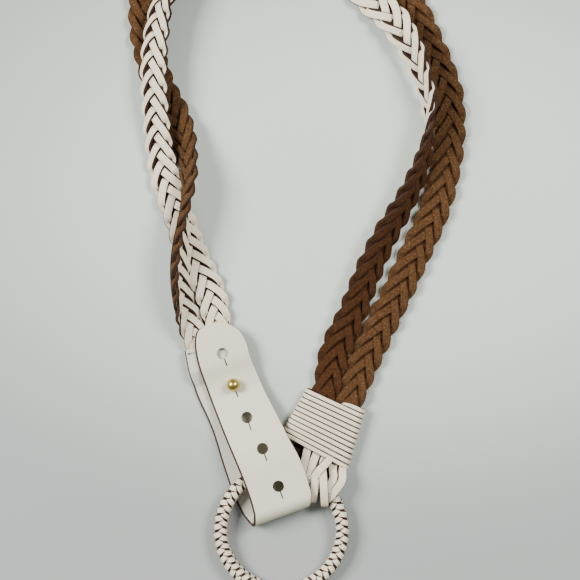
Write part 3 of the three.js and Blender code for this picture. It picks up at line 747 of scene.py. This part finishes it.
# Each lace: where it leaves the whipping, across and height, then its points on the way to the ring as
# x, y from the ring's middle and z, then the ring's angle over the tube and inside it in degrees, and how
# many laces it lies over on the tube. A loose one has hanging rows in place of the angles, points and the
# way its face looks. A brown one shows its cut edge's dark colour all over, as painted shade.
ringLaces = [
    {"name": "ringLace1", "node": "ring_lace_1", "across": -0.0045, "height": 0.0054,
     "points": [(0.0136, 0.0409, 0.0088)], "angles": (71, 74), "layer": 0},
    {"name": "ringLace2", "node": "ring_lace_2", "across": 0.0015, "height": 0.0050,
     "points": [(0.0180, 0.0392, 0.0086)], "angles": (65, 67), "layer": 0},
    {"name": "ringLace3", "node": "ring_lace_3", "across": 0.0095, "height": 0.0066,
     "points": [(0.0262, 0.0398, 0.0092), (0.0213, 0.0350, 0.0121)], "angles": (60, 66), "layer": 0.1},
    {"name": "ringLace4", "node": "ring_lace_4", "across": 0.0068, "height": 0.0042,
     "points": [(0.0236, 0.0378, 0.0086), (0.0239, 0.0316, 0.0122)], "hanging": [
         (0.0243, 0.0245, 0.0137, 0, -0.1, 1), (0.0246, 0.0192, 0.0131, 0, -0.35, 0.94),
         (0.0248, 0.0158, 0.0112, 0, -0.8, 0.6), (0.0249, 0.0146, 0.0084, 0, -1, 0),
         (0.0250, 0.0156, 0.0056, 0, -0.8, -0.6), (0.0252, 0.0190, 0.0034, 0, -0.3, -0.95),
         (0.0254, 0.0250, 0.0030, 0, 0, -1)]},
    {"name": "ringLace5", "node": "ring_lace_5", "across": 0.0180, "height": 0.0056,
     "points": [(0.0352, 0.0350, 0.0074), (0.0346, 0.0288, 0.0098)], "angles": (36, 33), "layer": 0.05},
    {"name": "ringLaceBehind", "node": None, "across": 0.0126, "height": 0.0040,
     "points": [(0.0297, 0.0362, 0.0062), (0.0298, 0.0305, 0.0086)], "angles": (42, 39), "layer": 0},
    {"name": "ringLaceUnder", "node": None, "across": 0.0046, "height": 0.0032,
     "points": [(0.0212, 0.0385, 0.0064), (0.0203, 0.0350, 0.0084), (0.0198, 0.0325, 0.0104)], "hanging": [
         (0.0193, 0.0295, 0.0122, 0, 0, 1), (0.0188, 0.0240, 0.0120, 0, -0.15, 0.98),
         (0.0184, 0.0205, 0.0112, 0, -0.4, 0.9), (0.0181, 0.0178, 0.0096, 0, -0.8, 0.6),
         (0.0180, 0.0168, 0.0076, 0, -1, 0), (0.0181, 0.0176, 0.0056, 0, -0.8, -0.6),
         (0.0184, 0.0210, 0.0036, 0, -0.3, -0.95), (0.0188, 0.0290, 0.0030, 0, 0, -1)]},
    # A lace seen by its back in deep shade beside the whipping, drawn in the dark cut-edge colour all over as
    # painted shade
    {"name": "ringLaceLeft", "node": None, "across": -0.0100, "height": 0.0034,
     "points": [(0.0075, 0.0410, 0.0048)], "angles": (80, 82), "layer": 0, "brown": 3.0},
]


def wrapPoint(angles, turn, radius):
    # Point round the tube and the way out of the tube there. The ring's angle drifts from the first
    # angle at the tube's top to the second at its inner side, and stays there.
    share = np.minimum((turn - 90) / 90, 1)
    angle = np.radians(angles[0] + (angles[1] - angles[0]) * share)
    outward = np.stack([np.cos(angle), np.sin(angle), 0 * angle], axis=-1)
    tube = ringCentre + outward * ringSize["radius"] + upright * tubeHeight(angle)[..., None]
    away = np.cos(np.radians(turn))[..., None] * outward + np.sin(np.radians(turn))[..., None] * upright
    return tube + radius * away, away


def ringLaceRoute(lace):
    # Points and face directions of a lace: out of the whipping, over the tube, round it and back below,
    # on a smooth curve through the rows.
    if "hanging" in lace:
        hanging = np.array(lace["hanging"])
        around, away = ringCentre + hanging[:, :3], unit(hanging[:, 3:])
    else:
        wrap = ringSize["tube"] / 2 + fan["thick"] * (0.58 + lace["layer"])
        turn = np.array([78.0, 100, 125, 150, 175, 200, 225, 250, 272])
        around, away = wrapPoint(lace["angles"], turn, wrap)
    across, high = lace["across"], lace["height"]
    low = whipHalfHeight * 2 - high - fan["thick"]
    start = [onWhipping(across, fan["inside"], high), onWhipping(across, fan["mouth"], high)]
    points = [ringCentre + point for point in lace["points"]]
    end = [onWhipping(across, fan["mouth"], low), onWhipping(across, fan["inside"], low)]
    rows = np.vstack([start, points, around, end])
    faces = np.vstack([np.tile(upright, (2 + len(points), 1)), away, np.tile(-upright, (2, 1))])
    at = np.linspace(0, len(rows) - 1, (len(rows) - 1) * 7 + 1)
    smooth = spline(np.hstack([rows, faces]), at)
    return smooth[:, :3], unit(smooth[:, 3:])


def makeRingLaces():
    profile, shares = laceProfile(fan["width"], fan["thick"], fan["corner"])
    # The laces' backs take the dark cut-edge browns: their brown flesh side, made darker as painted shade on
    # the return legs under the ring
    material = laceMaterial("ringLace", ("cutLight", "cutEdge", "cutLight"), 0.84)
    for lace in ringLaces:
        path, face = ringLaceRoute(lace)
        shifts = [np.full(len(path), lace.get("brown", 0.0))]
        made = makePiece(lace["name"], [sweep(path, face, profile)], material, shares, shifts=shifts)
        dressed(made, "white_lace", *([lace["node"]] if lace["node"] else []))


makeRingLaces()


# Tab

# along, left and right as shares, then the share of the rise over the ring and over the root
backRows = np.array([
    [0.89, -0.61, 0.37], [0.73, -0.61, 0.38], [0.55, -0.57, 0.40], [0.34, -0.60, 0.39], [0.17, -0.605, 0.39],
])
frontRows = np.array([
    [0.120, -0.350, 0.655, 1.00, 0.00],
    [0.190, -0.345, 0.665, 1.00, 0.00],
    [0.265, -0.350, 0.645, 1.00, 0.00],
    [0.343, -0.365, 0.600, 0.88, 0.00],
    [0.430, -0.385, 0.565, 0.62, 0.00],
    [0.514, -0.400, 0.525, 0.33, 0.00],
    [0.600, -0.410, 0.485, 0.10, 0.00],
    [0.643, -0.415, 0.475, 0.00, 0.00],
    [0.700, -0.415, 0.466, 0.00, 0.05],
    [0.736, -0.413, 0.463, 0.00, 0.27],
    [0.770, -0.411, 0.461, 0.00, 0.64],
    [0.806, -0.408, 0.462, 0.00, 0.95],
    [0.865, -0.390, 0.475, 0.00, 1.00],
    [0.922, -0.350, 0.432, 0.00, 1.00],
    [0.956, -0.305, 0.350, 0.00, 1.00],
    [0.981, -0.250, 0.255, 0.00, 1.00],
    [0.994, -0.190, 0.170, 0.00, 1.00],
    [1.000, -0.090, 0.070, 0.00, 1.00],
])
foldBack = -0.565
foldFront = (-0.37, 0.635)
keyholes = [(0.843, 0.043), (0.680, 0.032), (0.508, 0.061), (0.342, 0.136), (0.144, 0.171)]
keyhole = {"diameter": 0.0065, "slit": 0.0042, "slitWidth": 0.0007}
stud = {
    "ball": 0.0076, "neck": 0.004, "flange": 0.009, "flangeThick": 0.0007, "head": 0.008,
    "headThick": 0.0006, "headSink": 0.0001, "shank": 0.003,
}
seatHeight = tab["leather"] * 1.5 + 2 * clearance + stud["flangeThick"]
crestHeight = ringRise + ringSize["tube"] + fan["thick"] + 2 * clearance + tab["leather"] / 2
rootCrossing = tab["rootHeight"] + clearance + tab["leather"] / 2


def tabRows():
    # Columns along, height, left, right and top of the folded strip, from the root to the tip.
    leather = tab["leather"]
    blockEnd = tab["back"] - tab["rootDepth"] - tab["rootPly"]
    slopeEnd = blockEnd - 2.2 * (tab["rootHeight"] - leather)
    edge = np.vstack([[1.0, tab["rootLeft"], tab["rootRight"]], backRows])[::-1]
    rows = []
    for along, top in ((tab["back"], tab["rootHeight"]), (blockEnd, tab["rootHeight"]), (slopeEnd, leather)):
        left, right = (np.interp(along / tab["back"], edge[:, 0], edge[:, k]) for k in (1, 2))
        rows.append([along, leather / 2, left, right, top])
    for along, left, right in backRows:
        if along * tab["back"] < slopeEnd:
            rows.append([along * tab["back"], leather / 2, left, right, leather])
    middle = (leather / 2 + crestHeight) / 2
    for share in np.linspace(0, 1, 13):
        turn = math.pi * (share - 0.5)
        left = foldBack + (foldFront[0] - foldBack) * share
        right = backRows[-1][2] + (foldFront[1] - backRows[-1][2]) * share
        rows.append([tab["foldDepth"] * (1 - math.cos(turn)),
                     middle + (crestHeight - middle) * math.sin(turn), left, right, leather])
    for along, left, right, overRing, overRoot in frontRows:
        height = (seatHeight + overRing * (crestHeight - seatHeight)
                  + overRoot * (rootCrossing - seatHeight))
        rows.append([along * tab["length"], height, left, right, leather])
    return np.array(rows)


def denseRows(rows, step=0.0009):
    # The strip's rows at even steps of its length, on smooth curves through them.
    run = np.concatenate([[0], np.cumsum(np.hypot(np.diff(rows[:, 0]), np.diff(rows[:, 1])))])
    even = np.arange(0, run[-1], step)
    at = np.interp(even, run, np.arange(len(rows)))
    smooth = spline(rows, at)
    straight = np.column_stack([np.interp(even, run, column) for column in rows.T])
    smooth[:, 4] = straight[:, 4]
    return np.vstack([smooth, rows[-1]])


strip = {"inset": 0.0005, "faceCount": 25, "edgeCount": 5}


def tabStrip():
    # Section of the leather at each row: its two faces and its rounded cut edges, which lean to the left
    # below. Returns the points, and the slot of each quad round the section: 0 smooth face, 1 cut edge,
    # 2 the face that lies inside the fold.
    rows = denseRows(tabRows())
    slope = np.gradient(rows[:, :2], axis=0)
    slope /= np.linalg.norm(slope, axis=1, keepdims=True)
    left, right = rows[:, 2:3] * tab["width"], rows[:, 3:4] * tab["width"]
    under, over = -tab["leather"] / 2, rows[:, 4:5] - tab["leather"] / 2
    inset = strip["inset"]
    share = np.linspace(0, 1, strip["faceCount"])
    turn = np.radians(np.linspace(-60, 60, strip["edgeCount"]))
    rise = (1 + np.sin(turn) / math.sin(math.radians(75))) / 2
    faceAcross = left + inset + (right - left - 2 * inset) * share
    nearEdge = inset * np.cos(turn)
    edgeHeight = under + (over - under) * rise
    across = np.hstack([faceAcross, right - inset + nearEdge, faceAcross[:, ::-1], left + inset - nearEdge])
    lower, upper = np.full_like(faceAcross, under), over + 0 * faceAcross
    offset = np.hstack([lower, edgeHeight, upper, edgeHeight[:, ::-1]])
    along = rows[:, :1] + slope[:, 1:] * offset
    rising = -slope[:, :1] * offset
    across = across + tab["edgeLean"] * np.clip(rising, -tab["leather"] / 2, tab["leather"] / 2)
    around = np.arange(across.shape[1])
    edgeStart = strip["faceCount"] - 1
    innerStart = strip["faceCount"] + strip["edgeCount"]
    innerEnd = innerStart + edgeStart
    slots = np.where(((around >= edgeStart) & (around < innerStart)) | (around >= innerEnd), 1, 0)
    slots[(around >= innerStart) & (around < innerEnd)] = 2
    return onTab(across, along, rows[:, 1:2] + rising), slots


def frontHeight(along):
    front = tabRows()[-len(frontRows):]
    return float(np.interp(along, front[:, 0], front[:, 1]))


def keyholeOutline(radius, slit, half):
    # Circle with a slit towards the fold: the arc from one slit corner round to the other.
    start = -math.pi / 2 + math.asin(half / radius)
    turn = np.linspace(start, 1.5 * math.pi - math.asin(half / radius), 40)
    arc = np.column_stack([radius * np.cos(turn), radius * np.sin(turn)])
    return np.vstack([arc, [[-half, -radius - slit], [half, -radius - slit]]])


def makeCutter(name, outline, across, along, bottom, top, slope, material):
    # Upright prism on an outline, its two ends sloped along the tab.
    levels = [level + slope * outline[:, 1] for level in (bottom, top)]
    grid = np.stack([onTab(across + outline[:, 0], along + outline[:, 1], level) for level in levels])
    return makePiece(name, [grid], material)


def tabCutters(edge):
    # Prisms to take out of the tab: five keyholes, the stud's two holes and the two pockets for the straps.
    half = tab["leather"]
    radius = keyhole["diameter"] / 2
    outline = keyholeOutline(radius, keyhole["slit"], keyhole["slitWidth"] / 2)
    cutters = []
    for number, (alongShare, acrossShare) in enumerate(keyholes):
        along = alongShare * tab["length"]
        before, after = frontHeight(along - radius), frontHeight(along + radius)
        height, slope = (before + after) / 2, (after - before) / (2 * radius)
        cutters.append(makeCutter(f"cutter{number}", outline, acrossShare * tab["width"], along,
                                  height - half * (0.56 + 0.25 * abs(slope)), height + 2 * half,
                                  slope, edge))
    turn = np.linspace(0, 2 * math.pi, 33)[:-1]
    circle = np.column_stack([np.cos(turn), np.sin(turn)])
    studAlong, studAcross = keyholes[1][0] * tab["length"], keyholes[1][1] * tab["width"]
    for radius, bottom, top in ((stud["shank"] / 2 + clearance, -half, 1.5 * half),
                                (stud["head"] / 2 + clearance, -half, stud["headThick"] + clearance)):
        cutters.append(makeCutter("holeCutter", circle * radius, studAcross, studAlong, bottom, top, 0, edge))
    for side in (-1, 1):
        width = rootEnd[0] + 1.5 * clearance
        centre = rootMiddle + side * (rootEnd[0] + clearance) / 2
        box = np.array([[-1, -1], [1, -1], [1, 1], [-1, 1]]) * [width / 2, tab["rootDepth"]]
        cutters.append(makeCutter("pocketCutter", box, centre, tab["back"], tab["rootPly"],
                                  tab["rootHeight"] - tab["rootPly"], 0, edge))
    return cutters


def makeTab(edge):
    # The folded strip with its cutters taken out one after the other.
    grid, slots = tabStrip()
    made = makePiece("tabLeather", [grid], tabMaterial("tabLeather", "tabWhite", "tabShade"), slots=slots)
    made.data.materials.append(edge)
    # The face inside the fold is a darker copy of the tab's leather: partly its greyer flesh side, partly
    # painted shade under the front layer and down the keyholes
    made.data.materials.append(tabMaterial("tabInside", "insideWhite", "insideShade"))
    for each in tabCutters(edge):
        cut = made.modifiers.new("cut", "BOOLEAN")
        cut.operation, cut.solver, cut.object = "DIFFERENCE", "EXACT", each
        cut.material_mode = "TRANSFER"
        bpy.context.view_layer.objects.active = made
        bpy.ops.object.modifier_apply(modifier=cut.name)
        bpy.data.objects.remove(each, do_unlink=True)
    made.data.set_sharp_from_angle(angle=math.radians(50))
    dressed(made, "tab_leather", "tab")


def makeStitch(edge):
    # Round hole on the root drawn as a dark disc, for its dark walls and the painted shade inside it, and the
    # thread that leaves it.
    turn = np.linspace(0, 2 * math.pi, 13)[:-1]
    circle = np.column_stack([np.cos(turn), np.sin(turn), 0 * turn]) * tab["stitchRadius"]
    middle = ringCentre + tab["stitch"]
    dot = np.stack([middle + circle, middle + circle + upright * 0.0003])
    thread = middle + np.linspace(0, 1, 5)[:, None] * [0.0026, 0.0006, 0.0002]
    strand, _ = laceProfile(0.0004, 0.0003, 0.0001)
    grids = [dot, sweep(thread, np.tile(upright, (5, 1)), strand)]
    dressed(makePiece("rootStitch", grids, edge), "tab_leather")


cutLeather = edgeMaterial()
makeTab(cutLeather)
makeStitch(cutLeather)


# Stud

def makeStud():
    # Profile of the stud turned round its axis: screw head, shank, flange, neck and ball.
    ballRadius = stud["ball"] / 2
    ballHeight = (seatHeight + tab["leather"] / 2 + 2 * clearance
                  + math.sqrt(ballRadius ** 2 - (keyhole["diameter"] / 2) ** 2))
    headTop = stud["headSink"] + stud["headThick"]
    flangeTop = tab["leather"] + clearance + stud["flangeThick"]
    start = -math.acos(stud["neck"] / stud["ball"])
    ball = np.linspace(start, math.pi / 2 - 0.01, 20)
    profile = np.vstack([
        [[0.0002, stud["headSink"]], [stud["head"] / 2, stud["headSink"]], [stud["head"] / 2, headTop],
         [stud["shank"] / 2, headTop], [stud["shank"] / 2, tab["leather"] + clearance],
         [stud["flange"] / 2, tab["leather"] + clearance], [stud["flange"] / 2, flangeTop],
         [stud["neck"] / 2, flangeTop]],
        np.column_stack([ballRadius * np.cos(ball), ballHeight + ballRadius * np.sin(ball)]),
    ])
    turn = np.linspace(0, 2 * math.pi, 41)[:-1]
    grid = onTab(keyholes[1][1] * tab["width"] + profile[:, :1] * np.cos(turn),
                 keyholes[1][0] * tab["length"] + profile[:, :1] * np.sin(turn), profile[:, 1:])
    dressed(makePiece("studBrass", [grid], brassMaterial()), "brass", "stud")


makeStud()
